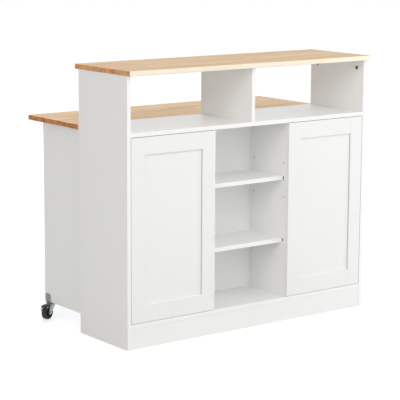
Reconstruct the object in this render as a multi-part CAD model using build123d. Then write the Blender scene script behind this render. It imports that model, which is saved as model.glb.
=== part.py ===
from build123d import *
import os

# A sideboard with a high shelf top and a drop-leaf worktop behind it.
# Millimetres, +Z up. The origin is on the floor, under the middle of the unit with its leaf up.
# The doors face -Y, the leaf reaches towards +Y, and X runs along the length.

# Whole unit
TOTAL_HEIGHT = 970
OPEN_DEPTH = 660
TOP_LENGTH = 1100
TOP_DEPTH = 340
WOOD_THICK = 18
BOARD = 15
BASE_LENGTH = 1095
BODY_DEPTH = 300
TOP_OVERHANG = 20
EASED_EDGE = 0.6
WOOD_ROUND = 2.5
CUT = 1  # how far a cutter runs past the face that it starts on

# Upper compartments and the shelf below them
UPPER_CLEAR = 195
TOP_UNDER = TOTAL_HEIGHT - WOOD_THICK
MID_TOP = TOP_UNDER - UPPER_CLEAR
MID_UNDER = MID_TOP - BOARD
FRONT = -OPEN_DEPTH / 2 + TOP_OVERHANG
REAR = FRONT + BODY_DEPTH
OUTER_X = BASE_LENGTH / 2
INNER_X = OUTER_X - BOARD

# Base: bottom board, plinths, niche and back
PLINTH_HEIGHT = 75
PLINTH_SETBACK = 2
FLOOR_TOP = PLINTH_HEIGHT + BOARD
NICHE_WIDTH = 340
NICHE_X = NICHE_WIDTH / 2
DIVIDER_FRONT = FRONT + 15.8
BACK_FACE = -90
BACK_THICK = 5

# Shelves and their pins
SHELF_FRONT = FRONT + 35
SHELF_END_GAP = 0.5
NICHE_SHELF_UNDER = 526
FIXED_SHELF_UNDER = 292
CUPBOARD_SHELF_UNDER = 400
PIN_RADIUS = 2.5
PIN_DEPTH = 9
PIN_REACH = 8
PIN_ROWS = (SHELF_FRONT + 20, BACK_FACE - 20)
HOLE_STEP = 64
SPARE_FRONT_Y = SHELF_FRONT - 6
SPARE_MIDDLE_Z = NICHE_SHELF_UNDER + 0.5

# Doors: frame and panel, set in between the side panel, the mid shelf and the bottom board
DOOR_GAP = 1.5
DOOR_TOP_GAP = 1.5
DOOR_HEIGHT = MID_UNDER - FLOOR_TOP - 2 * DOOR_TOP_GAP
DOOR_WIDTH = INNER_X - DOOR_GAP - NICHE_X
STILE_WIDTH = 55
RAIL_WIDTH = 62
PANEL_THICK = 5
PANEL_RECESS = 7
GROOVE_DEPTH = 8
PANEL_PLAY = 0.5

# Concealed hinges of the doors
CUP_RADIUS = 17.5
CUP_DEPTH = 11
CUP_WALL = 1
CUP_FROM_EDGE = 22.5
CUP_FLANGE = (60, 1)  # height, thickness
HINGE_FROM_END = 100
ARM_WIDTH = 13
ARM_DOOR_GAP = 1.5
ARM_LENGTH = 62
MOUNT_PLATE = (52, 2.5)  # height, thickness

# Push latches
LATCH_X = NICHE_X + BOARD + 20
LATCH_SIZE = (14, 68, 13)
LATCH_SETBACK = 8
PLUNGER_RADIUS = 3
PLUNGER_LENGTH = 34
RUNNING_FIT = 0.06
TOUCH_GAP = 0.3

# Cams that join the boards
CAM_RADIUS = 7.5
CAM_DEPTH = 12
CAM_INSET = 31
CAM_FROM_FACE = 39
CAM_SLOT = (2, 4)  # width, and twice the depth
CAM_PLAY = 0.1

# Drop leaf and its hinges
LEAF_UNDER = MID_UNDER - 3.5
LEAF_TOP = LEAF_UNDER + WOOD_THICK
LEAF_GAP = 1.5
LEAF_FRONT = REAR + LEAF_GAP
LEAF_BACK = OPEN_DEPTH / 2
LEAF_HINGE_X = (-420, 0, 420)
LEAF_HINGE_LENGTH = 60
LEAF_PIN_Y = REAR + LEAF_GAP / 2
LEAF_PIN_Z = MID_UNDER - 1.2
LEAF_KNUCKLE = 2.2
LEAF_PIN_RADIUS = 1
LEAF_PLATE = (26, 1.2)  # width, thickness

# Gates that swing out under the leaf, drawn for the left one
GATE_FACE_X = -INNER_X + 2.5
GATE_NEAR_Y = REAR - 0.2
GATE_FAR_Y = 259
GATE_UNDER = 64
GATE_TOP = LEAF_UNDER - 2
GATE_HINGE_Z = (150, 650)
GATE_HINGE_HEIGHT = 60
GATE_PIN_X = GATE_FACE_X + 0.8
GATE_PIN_Y = GATE_NEAR_Y - 3.3
GATE_KNUCKLE = 3
GATE_PIN_RADIUS = 1.5
GATE_PLATE = (22, 1.2)  # width, thickness
PAD_RADIUS = 6
PAD_HEIGHT = 1.7
PAD_FROM_END = (20, 110)

# Braked swivel castor under the far end of each gate
CASTOR_X = GATE_FACE_X + BOARD / 2
CASTOR_Y = 237
CASTOR_TURN = 23.5
BRACKET_LENGTH = 32
BRACKET_FLANGE = 30
BRACKET_THICK = 2
RACE_RADIUS = 14
RACE_GAP = 0.4
KINGPIN_RADIUS = 4
KINGPIN_HEAD = (6, 2.6)  # radius, height
TRAIL = 19
WHEEL_RADIUS = 25
WHEEL_WIDTH = 20
TYRE_SEAT = 18.5
TYRE_SHOULDER = 2.5
HUB_RADIUS = 6.5
HUB_HALF = 11.2
AXLE_RADIUS = 3
AXLE_HEAD = (5.6, 3)  # radius, height
WEB_HALF = 2.5
LEG_INSIDE = 11.6
LEG_THICK = 1.8
CROWN_UNDER = 52.2
CROWN_TOP = 54
CROWN_FRONT = 10
CROWN_REAR = -30
EAR_RADIUS = 4.7
AXLE_END_RADIUS = 7
LEG_REAR = -TRAIL + 3  # where the leg's rear edge meets the brake arm
LOWER_RACE_TOP = CROWN_TOP + 3.2
BRAKE_PIVOT = (-35, 49)  # from the swivel axis, above the floor
BRAKE_PIN_RADIUS = 2
PEDAL_LENGTH = 16
PEDAL_TOE = 12
PEDAL_EYE = 4.2
FOOT_START = 6.5
FOOT_THICK = 2
CHEEK_INSIDE = 13.8
CHEEK_THICK = 1.2
BRAKE_PAD_GAP = 1.5
BRAKE_PAD_HALF = 8
BRAKE_PAD_SPAN = (7.5, 11.5)  # near and far side, from the pivot
BRAKE_PAD_DROP = 13


def block(x, y, z):
    # Box from three (low, high) pairs.
    size = [high - low for low, high in (x, y, z)]
    centre = [(high + low) / 2 for low, high in (x, y, z)]
    return Pos(*centre) * Box(*size)


def board(x, y, z, eased=EASED_EDGE):
    # Panel with lightly eased edges.
    plain = block(x, y, z)
    return chamfer(plain.edges(), eased)


def rod(start, end, radius):
    # Round bar between two points on a line along one of the axes.
    length = (Vector(end) - Vector(start)).length
    plane = Plane(origin=start, z_dir=Vector(end) - Vector(start))
    return plane * Pos(0, 0, length / 2) * Cylinder(radius, length)


def mirrored(shape):
    return mirror(shape, Plane.YZ)


def group(shapes):
    return Compound(children=list(shapes))


# Boards of the carcass


def side_cam_places():
    # Cam centres (Y, Z) on the inner face of a side panel, under the top.
    z = TOP_UNDER - CAM_INSET
    return [(FRONT + CAM_FROM_FACE, z), (REAR - CAM_FROM_FACE, z)]


def shelf_cam_places(under, depth_end):
    # Cam centres (X, Y) on the underside of a board that ends against both side panels.
    x = INNER_X - CAM_INSET
    ys = (FRONT + CAM_FROM_FACE, depth_end - CAM_FROM_FACE)
    return [(sign * x, y, under) for sign in (-1, 1) for y in ys]


def board_cam_places():
    # Cam centres of the mid shelf and of the bottom board.
    return shelf_cam_places(MID_UNDER, REAR) + shelf_cam_places(PLINTH_HEIGHT, BACK_FACE)


def side_panel_left():
    panel = board((-OUTER_X, -INNER_X), (FRONT, REAR), (0, TOP_UNDER))
    inner = -INNER_X + CUT
    for y, z in side_cam_places():
        panel -= rod((inner, y, z), (-INNER_X - CAM_DEPTH, y, z), CAM_RADIUS)
    z = CUPBOARD_SHELF_UNDER - PIN_RADIUS
    for y in PIN_ROWS:
        panel -= rod((inner, y, z), (-INNER_X - PIN_DEPTH, y, z), PIN_RADIUS)
    return panel


def top_board():
    x = (-TOP_LENGTH / 2, TOP_LENGTH / 2)
    y = (-OPEN_DEPTH / 2, -OPEN_DEPTH / 2 + TOP_DEPTH)
    return fillet(block(x, y, (TOP_UNDER, TOTAL_HEIGHT)).edges(), WOOD_ROUND)


def upper_divider():
    divider = board((-BOARD / 2, BOARD / 2), (FRONT, REAR), (MID_TOP, TOP_UNDER))
    for y, z in side_cam_places():
        divider -= rod((BOARD / 2 + CUT, y, z), (BOARD / 2 - CAM_DEPTH, y, z), CAM_RADIUS)
    return divider


def cam_bores(panel, places):
    # Bores for the cams on a board's underside.
    for x, y, under in places:
        panel -= rod((x, y, under - CUT), (x, y, under + CAM_DEPTH), CAM_RADIUS)
    return panel


def mid_shelf():
    shelf = board((-INNER_X, INNER_X), (FRONT, REAR), (MID_UNDER, MID_TOP))
    shelf = cam_bores(shelf, shelf_cam_places(MID_UNDER, REAR))
    recess_front = LEAF_PIN_Y - LEAF_KNUCKLE - TOUCH_GAP
    recess_top = LEAF_PIN_Z + LEAF_KNUCKLE + TOUCH_GAP
    plate_front = REAR - LEAF_PLATE[0]
    for x in leaf_recess_spans():
        shelf -= block(x, (recess_front, REAR + CUT), (MID_UNDER - CUT, recess_top))
        shelf -= block(x, (plate_front, REAR + CUT), (MID_UNDER - CUT, MID_UNDER + LEAF_PLATE[1]))
    return shelf


def leaf_recess_spans():
    # X range of the recess round each leaf hinge.
    half = LEAF_HINGE_LENGTH / 2 + TOUCH_GAP
    return [(x - half, x + half) for x in LEAF_HINGE_X]


def bottom_board():
    bottom = board((-INNER_X, INNER_X), (FRONT, BACK_FACE), (PLINTH_HEIGHT, FLOOR_TOP))
    return cam_bores(bottom, shelf_cam_places(PLINTH_HEIGHT, BACK_FACE))


def niche_divider_left():
    inner = -NICHE_X
    outer = -NICHE_X - BOARD
    divider = board((outer, inner), (DIVIDER_FRONT, BACK_FACE), (FLOOR_TOP, MID_UNDER))
    niche_z = NICHE_SHELF_UNDER - PIN_RADIUS
    cupboard_z = CUPBOARD_SHELF_UNDER - PIN_RADIUS
    for y in PIN_ROWS:
        divider -= rod((inner + CUT, y, niche_z), (inner - PIN_DEPTH, y, niche_z), PIN_RADIUS)
        divider -= rod((outer - CUT, y, cupboard_z), (outer + PIN_DEPTH, y, cupboard_z), PIN_RADIUS)
    for y, z in spare_hole_places():
        divider -= rod((inner + CUT, y, z), (inner - PIN_DEPTH, y, z), PIN_RADIUS)
    return divider


def spare_hole_places():
    # Empty pin holes (Y, Z) in the niche wall, above and below the loose shelf.
    low, high = SPARE_MIDDLE_Z - HOLE_STEP, SPARE_MIDDLE_Z + HOLE_STEP
    front = [(SPARE_FRONT_Y, z) for z in (low, SPARE_MIDDLE_Z, high)]
    return front + [(PIN_ROWS[1], z) for z in (low, high)]


def back_panel():
    return block((-INNER_X, INNER_X), (BACK_FACE, BACK_FACE + BACK_THICK), (PLINTH_HEIGHT, MID_UNDER))


def front_plinth():
    face = FRONT + PLINTH_SETBACK
    return board((-INNER_X, INNER_X), (face, face + BOARD), (0, PLINTH_HEIGHT))


def rear_plinth():
    return board((-INNER_X, INNER_X), (BACK_FACE - BOARD, BACK_FACE), (0, PLINTH_HEIGHT))


# Shelves and their fittings


def shelf_between(low_x, high_x, under):
    x = (low_x + SHELF_END_GAP, high_x - SHELF_END_GAP)
    return board(x, (SHELF_FRONT, BACK_FACE), (under, under + BOARD))


def niche_shelf_upper():
    return shelf_between(-NICHE_X, NICHE_X, NICHE_SHELF_UNDER)


def niche_shelf_lower():
    z = (FIXED_SHELF_UNDER, FIXED_SHELF_UNDER + BOARD)
    return board((-NICHE_X, NICHE_X), (SHELF_FRONT, BACK_FACE), z)


def cupboard_shelf_left():
    return shelf_between(-INNER_X, -NICHE_X - BOARD, CUPBOARD_SHELF_UNDER)


def shelf_pins():
    # Round pins, plugged into the walls, that carry the loose shelves.
    niche_z = NICHE_SHELF_UNDER - PIN_RADIUS
    cupboard_z = CUPBOARD_SHELF_UNDER - PIN_RADIUS
    walls = [(-NICHE_X, niche_z, 1), (-INNER_X, cupboard_z, 1), (-NICHE_X - BOARD, cupboard_z, -1)]
    pins = []
    for wall, z, side in walls:
        for y in PIN_ROWS:
            pin = rod((wall - side * PIN_DEPTH, y, z), (wall + side * PIN_REACH, y, z), PIN_RADIUS)
            pins += [pin, mirrored(pin)]
    return group(pins)


def cam_lock(face, inward):
    # Cam in its bore: a drum flush with the board's face, with a screwdriver slot across it.
    drum = rod(face, Vector(face) + Vector(inward) * CAM_DEPTH, CAM_RADIUS - CAM_PLAY)
    slot = Plane(origin=face, z_dir=inward) * Box(2 * CAM_RADIUS - 4, *CAM_SLOT)
    return drum - slot


def cam_locks():
    locks = []
    for y, z in side_cam_places():
        locks.append(cam_lock((-INNER_X, y, z), (-1, 0, 0)))
        locks.append(cam_lock((INNER_X, y, z), (1, 0, 0)))
        locks.append(cam_lock((BOARD / 2, y, z), (-1, 0, 0)))
    for place in board_cam_places():
        locks.append(cam_lock(place, (0, 0, 1)))
    return group(locks)


# Doors, drawn for the left one


def door_span():
    low_x = -INNER_X + DOOR_GAP
    low_z = FLOOR_TOP + DOOR_TOP_GAP
    return low_x, low_x + DOOR_WIDTH, low_z, low_z + DOOR_HEIGHT


def panel_groove():
    # Y range of the groove round the frame, where the panel's edge sits.
    return (FRONT + PANEL_RECESS, FRONT + PANEL_RECESS + PANEL_THICK)


def door_stile(hinge_side):
    low_x, high_x, low_z, high_z = door_span()
    if hinge_side:
        x = (low_x, low_x + STILE_WIDTH)
        groove_x = (x[1] - GROOVE_DEPTH, x[1] + CUT)
    else:
        x = (high_x - STILE_WIDTH, high_x)
        groove_x = (x[0] - CUT, x[0] + GROOVE_DEPTH)
    stile = board(x, (FRONT, FRONT + BOARD), (low_z, high_z))
    stile -= block(groove_x, panel_groove(), (low_z - CUT, high_z + CUT))
    if hinge_side:
        cup_x = low_x + CUP_FROM_EDGE
        back = FRONT + BOARD
        for z in hinge_heights():
            stile -= rod((cup_x, back + CUT, z), (cup_x, back - CUP_DEPTH, z), CUP_RADIUS)
    return stile


def door_rail(top):
    low_x, high_x, low_z, high_z = door_span()
    x = (low_x + STILE_WIDTH, high_x - STILE_WIDTH)
    z = (high_z - RAIL_WIDTH, high_z) if top else (low_z, low_z + RAIL_WIDTH)
    rail = board(x, (FRONT, FRONT + BOARD), z)
    tongue_x = (x[0] - GROOVE_DEPTH, x[1] + GROOVE_DEPTH)
    rail += block(tongue_x, panel_groove(), z)
    if top:
        groove_z = (z[0] - CUT, z[0] + GROOVE_DEPTH)
    else:
        groove_z = (z[1] - GROOVE_DEPTH, z[1] + CUT)
    return rail - block((tongue_x[0] - CUT, tongue_x[1] + CUT), panel_groove(), groove_z)


def door_panel():
    low_x, high_x, low_z, high_z = door_span()
    reach = GROOVE_DEPTH - PANEL_PLAY
    x = (low_x + STILE_WIDTH - reach, high_x - STILE_WIDTH + reach)
    z = (low_z + RAIL_WIDTH - reach, high_z - RAIL_WIDTH + reach)
    return block(x, panel_groove(), z)


def hinge_heights():
    _, _, low_z, high_z = door_span()
    return (low_z + HINGE_FROM_END, high_z - HINGE_FROM_END)


def hinge_cup(z):
    # Pressed cup in the back of the hinge stile, with its flange screwed flat on the wood.
    x = door_span()[0] + CUP_FROM_EDGE
    back = FRONT + BOARD
    height, thick = CUP_FLANGE
    flange = block((x - 9, x + 12), (back, back + thick), (z - height / 2, z + height / 2))
    flange = chamfer(flange.edges().filter_by(Axis.Y), 5)
    cup = flange + rod((x, back + thick, z), (x, back - CUP_DEPTH, z), CUP_RADIUS)
    hollow_end = (x, back - CUP_DEPTH + CUP_WALL, z)
    return cup - rod((x, back + thick + CUT, z), hollow_end, CUP_RADIUS - CUP_WALL)


def hinge_cups():
    return group(hinge_cup(z) for z in hinge_heights())


def hinge_arm(z):
    # Mounting plate on the side panel with the cranked arm that reaches the cup.
    back = FRONT + BOARD
    tip_y = back + ARM_DOOR_GAP
    cup_x = door_span()[0] + CUP_FROM_EDGE
    wall = -INNER_X
    half = ARM_WIDTH / 2
    outline = [
        (wall + 6, tip_y + ARM_LENGTH),
        (wall + 14, tip_y + ARM_LENGTH),
        (wall + 14, tip_y + 26),
        (cup_x + 6, tip_y + 10),
        (cup_x + 6, tip_y),
        (cup_x - 5, tip_y),
        (cup_x - 5, tip_y + 6),
        (wall + 6, tip_y + 20),
    ]
    arm = Pos(0, 0, z) * extrude(Polygon(*outline, align=None), half, both=True)
    spine = block((wall, wall + 6), (tip_y + 24, tip_y + ARM_LENGTH - 4), (z - half, z + half))
    wing, thick = MOUNT_PLATE[0] / 2, MOUNT_PLATE[1]
    wings = block((wall, wall + thick), (tip_y + 30, tip_y + 44), (z - wing, z + wing))
    wings = chamfer(wings.edges().filter_by(Axis.X), 4)
    return arm + spine + wings


def door_hinge_arms():
    left = [hinge_arm(z) for z in hinge_heights()]
    return group(left + [mirrored(arm) for arm in left])


# Push latches under the mid shelf, drawn for the left one


def latch_axis():
    z = MID_UNDER - LATCH_SIZE[2] / 2
    return (-LATCH_X, FRONT + BOARD, z)


def latch_body():
    x, door_back, z = latch_axis()
    front = door_back + LATCH_SETBACK
    width, length, height = LATCH_SIZE
    body = block((x - width / 2, x + width / 2), (front, front + length), (z - height / 2, MID_UNDER))
    body = chamfer(body.edges().filter_by(Axis.Y).sort_by(Axis.Z)[:2], 2)
    bore_end = (x, front + PLUNGER_LENGTH, z)
    return body - rod((x, front - CUT, z), bore_end, PLUNGER_RADIUS + RUNNING_FIT)


def push_latch_bodies():
    return group([latch_body(), mirrored(latch_body())])


def latch_plunger():
    x, door_back, z = latch_axis()
    tip = door_back + TOUCH_GAP
    return rod((x, tip, z), (x, tip + PLUNGER_LENGTH, z), PLUNGER_RADIUS)


# Drop leaf


def knuckle_spans(centre, length):
    # Three equal knuckles along a hinge: the outer two belong to the fixed plate.
    third = length / 3
    low = centre - length / 2
    fixed = [(low, low + third - TOUCH_GAP), (low + 2 * third + TOUCH_GAP, low + length)]
    moving = (low + third, low + 2 * third)
    return fixed, moving


def drop_leaf():
    x = (-TOP_LENGTH / 2, TOP_LENGTH / 2)
    plain = block(x, (LEAF_FRONT, LEAF_BACK), (LEAF_UNDER, LEAF_TOP))
    leaf = fillet(plain.edges().filter_by_position(Axis.Y, LEAF_FRONT + CUT, LEAF_BACK), WOOD_ROUND)
    low_y, low_z = LEAF_FRONT - CUT, LEAF_UNDER - CUT
    recess_back = LEAF_PIN_Y + LEAF_KNUCKLE + TOUCH_GAP
    recess_top = LEAF_PIN_Z + LEAF_KNUCKLE + TOUCH_GAP
    width, thick = LEAF_PLATE
    for x in leaf_recess_spans():
        leaf -= block(x, (low_y, recess_back), (low_z, recess_top))
        leaf -= block(x, (low_y, LEAF_FRONT + width), (low_z, LEAF_UNDER + thick))
    return leaf


def leaf_knuckle(span, bore):
    y, z = LEAF_PIN_Y, LEAF_PIN_Z
    ring = rod((span[0], y, z), (span[1], y, z), LEAF_KNUCKLE)
    return ring, rod((span[0] - CUT, y, z), (span[1] + CUT, y, z), bore)


def leaf_hinge_shelf_plate(x):
    half = LEAF_HINGE_LENGTH / 2
    clear = LEAF_PIN_Y - LEAF_KNUCKLE - TOUCH_GAP
    z = (MID_UNDER, MID_UNDER + LEAF_PLATE[1])
    plate = block((x - half, x + half), (REAR - LEAF_PLATE[0], clear), z)
    fixed, _ = knuckle_spans(x, LEAF_HINGE_LENGTH)
    for span in fixed:
        ring, bore = leaf_knuckle(span, LEAF_PIN_RADIUS)
        plate += block(span, (clear - CUT, LEAF_PIN_Y), z) + ring
        plate -= bore
    return plate


def leaf_hinge_leaf_plate(x):
    half = LEAF_HINGE_LENGTH / 2
    clear = LEAF_PIN_Y + LEAF_KNUCKLE + TOUCH_GAP
    z = (LEAF_UNDER, LEAF_UNDER + LEAF_PLATE[1])
    plate = block((x - half, x + half), (clear, LEAF_FRONT + LEAF_PLATE[0]), z)
    _, span = knuckle_spans(x, LEAF_HINGE_LENGTH)
    ring, bore = leaf_knuckle(span, LEAF_PIN_RADIUS + RUNNING_FIT)
    plate += block(span, (LEAF_PIN_Y, clear + CUT), z) + ring
    return plate - bore


def leaf_hinge_shelf_plates():
    return group(leaf_hinge_shelf_plate(x) for x in LEAF_HINGE_X)


def leaf_hinge_leaf_plates():
    return group(leaf_hinge_leaf_plate(x) for x in LEAF_HINGE_X)


# Gates, drawn for the left one


def gate_panel():
    x = (GATE_FACE_X, GATE_FACE_X + BOARD)
    return board(x, (GATE_NEAR_Y, GATE_FAR_Y), (GATE_UNDER, GATE_TOP))


def gate_knuckle(span, bore):
    x, y = GATE_PIN_X, GATE_PIN_Y
    ring = rod((x, y, span[0]), (x, y, span[1]), GATE_KNUCKLE)
    return ring, rod((x, y, span[0] - CUT), (x, y, span[1] + CUT), bore)


def gate_hinge_side_plate(z):
    half = GATE_HINGE_HEIGHT / 2
    clear = GATE_PIN_Y - GATE_KNUCKLE - TOUCH_GAP
    x = (-INNER_X, -INNER_X + GATE_PLATE[1])
    plate = block(x, (GATE_PIN_Y - GATE_PLATE[0], clear), (z - half, z + half))
    fixed, _ = knuckle_spans(z, GATE_HINGE_HEIGHT)
    for span in fixed:
        ring, bore = gate_knuckle(span, GATE_PIN_RADIUS)
        plate += block(x, (clear - CUT, GATE_PIN_Y), span) + ring
        plate -= bore
    return plate


def gate_hinge_gate_plate(z):
    half = GATE_HINGE_HEIGHT / 2
    clear = GATE_PIN_X + GATE_KNUCKLE + TOUCH_GAP
    y = (GATE_NEAR_Y - GATE_PLATE[1] - TOUCH_GAP, GATE_NEAR_Y)
    plate = block((clear, GATE_FACE_X + BOARD - EASED_EDGE), y, (z - half, z + half))
    _, span = knuckle_spans(z, GATE_HINGE_HEIGHT)
    ring, bore = gate_knuckle(span, GATE_PIN_RADIUS + RUNNING_FIT)
    plate += block((GATE_PIN_X, clear + CUT), y, span) + ring
    return plate - bore


def gate_hinge_side_plates():
    left = [gate_hinge_side_plate(z) for z in GATE_HINGE_Z]
    return group(left + [mirrored(plate) for plate in left])


def gate_hinge_gate_plates():
    return group(gate_hinge_gate_plate(z) for z in GATE_HINGE_Z)


def hinge_pins():
    # Pins of the leaf hinges and the gate hinges, all held by the carcass plates.
    pins = []
    half = LEAF_HINGE_LENGTH / 2
    y, z = LEAF_PIN_Y, LEAF_PIN_Z
    for x in LEAF_HINGE_X:
        pins.append(rod((x - half, y, z), (x + half, y, z), LEAF_PIN_RADIUS))
    half = GATE_HINGE_HEIGHT / 2
    x, y = GATE_PIN_X, GATE_PIN_Y
    for z in GATE_HINGE_Z:
        pin = rod((x, y, z - half), (x, y, z + half), GATE_PIN_RADIUS)
        pins += [pin, mirrored(pin)]
    return group(pins)


def gate_support_pads():
    # Low plastic buttons on the gate's top edge that carry the leaf.
    x = GATE_FACE_X + BOARD / 2
    pads = []
    for from_end in PAD_FROM_END:
        y = GATE_FAR_Y - from_end
        pads.append(rod((x, y, GATE_TOP), (x, y, GATE_TOP + PAD_HEIGHT), PAD_RADIUS))
    return group(pads)


# Castor, drawn round its swivel axis with the wheel trailing towards -X and the floor at Z 0


def place_castor(shape):
    return Pos(CASTOR_X, CASTOR_Y, 0) * Rot(0, 0, CASTOR_TURN) * shape


def castor_bracket():
    # Steel channel round the gate's lower edge, with the upper race and the kingpin riveted under it.
    half = BRACKET_LENGTH / 2
    inside = BOARD / 2
    outside = inside + BRACKET_THICK
    z = (GATE_UNDER - BRACKET_THICK, GATE_UNDER + BRACKET_FLANGE)
    channel = block((-outside, outside), (-half, half), z)
    channel = fillet(channel.edges().filter_by(Axis.Y).sort_by(Axis.Z)[:2], BRACKET_THICK)
    channel = fillet(channel.edges().filter_by(Axis.X).sort_by(Axis.Z)[-2:], 4)
    channel -= block((-inside, inside), (-half - CUT, half + CUT), (GATE_UNDER, z[1] + CUT))
    kingpin_low = CROWN_UNDER - RACE_GAP
    radius, height = KINGPIN_HEAD
    kingpin = rod((0, 0, z[0]), (0, 0, kingpin_low), KINGPIN_RADIUS)
    head = rod((0, 0, kingpin_low), (0, 0, kingpin_low - height), radius)
    return Pos(CASTOR_X, CASTOR_Y, 0) * (channel + upper_race(z[0]) + kingpin + head)


def upper_race(top):
    # Downturned pressed cup that covers the bearing.
    skirt_low = LOWER_RACE_TOP + RACE_GAP
    wall = 1.5
    profile = [(0, top), (RACE_RADIUS, top), (RACE_RADIUS, skirt_low), (RACE_RADIUS - wall, skirt_low)]
    profile += [(RACE_RADIUS - wall - 2, top - wall), (0, top - wall)]
    return turned(profile)


def turned(profile):
    # Solid of revolution round the swivel axis from (radius, height) points.
    return revolve(Plane.XZ * make_face(Polyline(*profile, profile[0])), Axis.Z)


def fork_leg_outline():
    # Pressed leg: a round end at the axle, the crown's side, and an arm back to the brake's rivet.
    pivot_x, pivot_z = BRAKE_PIVOT
    back, ear_low = pivot_x - EAR_RADIUS, pivot_z - EAR_RADIUS
    low = WHEEL_RADIUS - AXLE_END_RADIUS
    corners = [
        ((CROWN_FRONT + 3, CROWN_TOP), 2),
        ((CROWN_FRONT + 3, CROWN_TOP - 7), 6),
        ((-TRAIL + 4, low), AXLE_END_RADIUS - 0.5),
        ((-TRAIL - 10, low), AXLE_END_RADIUS - 0.5),
        ((LEG_REAR, ear_low), 5),
        ((back, ear_low), EAR_RADIUS),
        ((back, CROWN_TOP), EAR_RADIUS),
    ]
    return rounded(corners)


def rounded(corners):
    # Flat outline from ((x, z), corner radius) pairs.
    outline = Polygon(*[point for point, _ in corners], align=None)
    for point, radius in corners:
        corner = outline.vertices().sort_by_distance(point)[0]
        outline = fillet(corner, radius)
    return outline


def castor_fork():
    leg = extrude(Plane.XZ * fork_leg_outline(), LEG_THICK / 2, both=True)
    near = Pos(0, -LEG_INSIDE - LEG_THICK / 2, 0) * leg
    far = Pos(0, LEG_INSIDE + LEG_THICK / 2, 0) * leg
    half = LEG_INSIDE + LEG_THICK
    crown = block((CROWN_REAR, CROWN_FRONT), (-half, half), (CROWN_UNDER, CROWN_TOP))
    base = CROWN_TOP - EASED_EDGE
    lower_race = turned([(0, base), (RACE_RADIUS, base), (RACE_RADIUS, CROWN_TOP + 1),
                         (RACE_RADIUS - 4.5, LOWER_RACE_TOP), (0, LOWER_RACE_TOP)])
    fork = near + far + crown + lower_race
    kingpin_way = (0, 0, CROWN_UNDER - CUT), (0, 0, LOWER_RACE_TOP + CUT)
    fork -= rod(*kingpin_way, KINGPIN_RADIUS + RUNNING_FIT)
    for side in (-1, 1):
        inside = (-TRAIL, side * (LEG_INSIDE - CUT), WHEEL_RADIUS)
        outside = (-TRAIL, side * (half + CUT), WHEEL_RADIUS)
        fork -= rod(inside, outside, AXLE_RADIUS)
    rivet_x, rivet_z = BRAKE_PIVOT
    reach = CHEEK_INSIDE + CHEEK_THICK + 1
    fork += rod((rivet_x, -reach, rivet_z), (rivet_x, reach, rivet_z), BRAKE_PIN_RADIUS)
    return fork


def castor_axle():
    half = LEG_INSIDE + LEG_THICK
    x, z = -TRAIL, WHEEL_RADIUS
    shank = rod((x, -half, z), (x, half, z), AXLE_RADIUS)
    head = rod((x, -half, z), (x, -half - AXLE_HEAD[1], z), AXLE_HEAD[0])
    nut_plane = Plane(origin=(x, half, z), z_dir=(0, 1, 0))
    nut = nut_plane * extrude(RegularPolygon(AXLE_HEAD[0], 6), AXLE_HEAD[1])
    return shank + head + nut


def wheel_axis():
    return Axis((-TRAIL, 0, WHEEL_RADIUS), (0, 1, 0))


def on_wheel(points):
    # Closed profile given as (along the axle, distance from it), laid in the plane above the axle.
    placed = [(-TRAIL, along, WHEEL_RADIUS + out) for along, out in points]
    return make_face(Polyline(*placed, placed[0]))


def castor_wheel_core():
    # Moulded core: rim, thin web and hub.
    rim = WHEEL_WIDTH / 2 - 1
    half = [(HUB_HALF, AXLE_RADIUS + RUNNING_FIT), (HUB_HALF, HUB_RADIUS), (WEB_HALF, HUB_RADIUS)]
    half += [(WEB_HALF, TYRE_SEAT - 3), (rim, TYRE_SEAT - 2), (rim, TYRE_SEAT)]
    points = half + [(-along, out) for along, out in reversed(half)]
    return revolve(on_wheel(points), wheel_axis())


def castor_tyre():
    # Tyre with sloped shoulders on the core's rim.
    half = WHEEL_WIDTH / 2
    shoulder = TYRE_SHOULDER
    points = [(-half, TYRE_SEAT), (-half, WHEEL_RADIUS - shoulder), (-half + shoulder, WHEEL_RADIUS)]
    points += [(-along, out) for along, out in reversed(points)]
    return revolve(on_wheel(points), wheel_axis())


def brake_pedal():
    # Moulded pedal over the trailing side of the tyre, with the pad that presses on the tyre.
    x, z = BRAKE_PIVOT
    half = CHEEK_INSIDE + CHEEK_THICK
    toe = x - PEDAL_TOE
    corners = [
        ((x + PEDAL_EYE, z + PEDAL_EYE), 4),
        ((x + PEDAL_EYE, z - PEDAL_EYE), 4),
        ((toe - 1.5, z - 5.2), 1.5),
        ((toe - 1.5, z - 0.6), 1.5),
        ((x - FOOT_START, z + PEDAL_EYE), 4),
    ]
    cheek = extrude(Plane.XZ * rounded(corners), CHEEK_THICK / 2, both=True)
    middle = CHEEK_INSIDE + CHEEK_THICK / 2
    cheeks = Pos(0, -middle, 0) * cheek + Pos(0, middle, 0) * cheek
    foot_low = [(x - FOOT_START, z + 1), (toe, z - 3), (x - PEDAL_LENGTH, z - 4)]
    foot_high = [(along, height + FOOT_THICK) for along, height in reversed(foot_low)]
    foot = make_face(Polyline(*foot_low, *foot_high, foot_low[0]))
    foot_plate = extrude(Plane.XZ * foot, half, both=True)
    near, far = [x - reach for reach in BRAKE_PAD_SPAN]
    low = z - BRAKE_PAD_DROP
    pad_side = Polygon((far, low), (near, low), (near, z + 1), (far, z - 1.6), align=None)
    pad_side -= Pos(-TRAIL, WHEEL_RADIUS) * Circle(WHEEL_RADIUS + BRAKE_PAD_GAP)
    pad = extrude(Plane.XZ * pad_side, BRAKE_PAD_HALF, both=True)
    pedal = cheeks + foot_plate + pad
    return pedal - rod((x, -half - CUT, z), (x, half + CUT, z), BRAKE_PIN_RADIUS + RUNNING_FIT)


def write(name, shape):
    export_step(shape, f"parts/{name}.step")


def write_pair(name, left):
    write(f"left_{name}", left)
    write(f"right_{name}", mirrored(left))


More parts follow.
